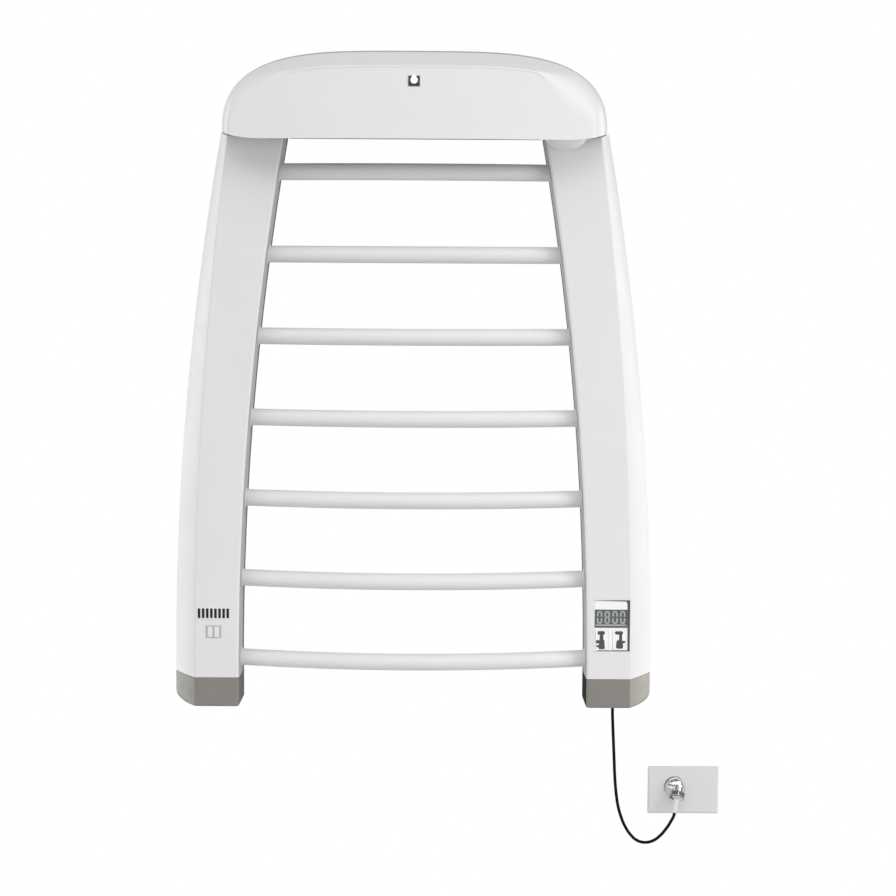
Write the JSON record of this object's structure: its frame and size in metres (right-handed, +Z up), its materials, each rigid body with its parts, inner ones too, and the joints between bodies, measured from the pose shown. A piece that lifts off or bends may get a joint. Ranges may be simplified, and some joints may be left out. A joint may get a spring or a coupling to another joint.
{
  "type": "wall-hung heated towel rail",
  "caption": "Wall-hung electric towel warmer with bowed heated bars between two curved uprights, a fan-heater hood and a cord to a wall outlet plate.",
  "frame": {"origin": "centre of the four wall holes, on the wall plane, level with the middle bar", "axes": "+X to the right of a person facing the rail, +Y into the wall, +Z up"},
  "size_m": [0.901, 0.1862, 1.2843],
  "materials": {
    "white_powder_coat": "white powder coat, fine orange peel, satin",
    "white_hood_plastic": "white moulded plastic, satin gloss",
    "white_back_plastic": "white moulded plastic, matte",
    "white_bush_plastic": "white nylon, matte",
    "grey_foot_plastic": "warm grey moulded plastic, fine grain",
    "rail_steel": "zinc-plated steel",
    "rod_steel": "stainless tube, dull",
    "bracket_steel": "zinc-plated steel",
    "screw_steel": "nickel-plated",
    "duct_steel": "galvanised sheet",
    "shaft_steel": "ground steel",
    "motor_steel": "drawn steel can",
    "heater_aluminium": "finned aluminium",
    "black_plug_rubber": "black silicone rubber",
    "dark_plastic": "black moulded plastic",
    "fan_plastic": "grey moulded plastic",
    "grille_plastic": "light grey moulded plastic",
    "indicator_black": "black moulded plastic",
    "indicator_light": "milky diffuser",
    "circuit_board": "green solder mask",
    "component_black": "black component bodies",
    "panel_white": "white moulded plastic with printed strip",
    "display_glass": "smoked display window",
    "display_black": "black display body",
    "key_white": "white keys with dark printed pictograms",
    "sleeve_white": "pale soft sleeve",
    "wire_black": "insulated wires",
    "badge_metal": "satin aluminium",
    "gland_black": "black rubber grommet",
    "cord_black": "black flexible cord",
    "outlet_plastic": "pale grey-white moulded plate",
    "chrome_gland": "polished chrome"
  },
  "bodies": {
    "frame": {"upright_left": "white_powder_coat", "upright_right": "white_powder_coat", "back_cover_left": "white_back_plastic", "back_cover_right": "white_back_plastic", "frame_rail_left": "rail_steel", "frame_rail_right": "rail_steel", "foot_cap_left": "grey_foot_plastic", "foot_cap_right": "grey_foot_plastic", "bar_1": "white_powder_coat", "bar_2": "white_powder_coat", "bar_3": "white_powder_coat", "bar_4": "white_powder_coat", "bar_5": "white_powder_coat", "bar_6": "white_powder_coat", "bar_7": "white_powder_coat", "bar_bushes": "white_bush_plastic", "bar_end_plugs": "black_plug_rubber", "heater_rods": "rod_steel", "wall_brackets": "bracket_steel", "frame_screws": "screw_steel", "hood_shell": "white_hood_plastic", "hood_back_panel": "white_back_plastic", "hood_underpan": "white_hood_plastic", "hood_brackets": "bracket_steel", "hood_screws": "screw_steel", "outlet_grille": "grille_plastic", "air_duct": "duct_steel", "fan_scroll": "dark_plastic", "fan_motor": "motor_steel", "motor_bracket": "bracket_steel", "motor_cover": "white_hood_plastic", "ptc_heater": "heater_aluminium", "thermal_cutout": "dark_plastic", "indicator_bezel": "indicator_black", "indicator_lens": "indicator_light", "indicator_board": "circuit_board", "panel_bezel": "panel_white", "display_window": "display_glass", "display_module": "display_black", "button_guides": "dark_plastic", "control_board": "circuit_board", "board_components": "component_black", "terminal_block": "component_black", "wiring_loom": "wire_black", "sensor_grille": "panel_white", "air_sensor": "component_black", "badge_plate": "badge_metal", "cable_gland": "gland_black", "power_cord": "cord_black", "outlet_plate": "outlet_plastic", "outlet_gland_body": "chrome_gland", "outlet_gland_nut": "chrome_gland", "outlet_sleeve": "sleeve_white"},
    "rail_key": {"button_rail": "key_white"},
    "fan_key": {"button_fan": "key_white"},
    "fan_rotor": {"fan_wheel": "fan_plastic", "fan_shaft": "shaft_steel"}
  },
  "joints": [
    {"name": "rail_key_press", "type": "slide", "parent": "frame", "child": "rail_key", "axis": [0, 1, 0], "range_m": [0, 0.0012], "stiffness_N_per_m": 600, "springref_m": -0.0008},
    {"name": "fan_key_press", "type": "slide", "parent": "frame", "child": "fan_key", "axis": [0, 1, 0], "range_m": [0, 0.0012], "stiffness_N_per_m": 600, "springref_m": -0.0008},
    {"name": "fan_spin", "type": "hinge", "parent": "frame", "child": "fan_rotor", "pos_m": [0.236, -0.1345, 0.466], "axis": [0, 0, 1], "continuous": true}
  ]
}
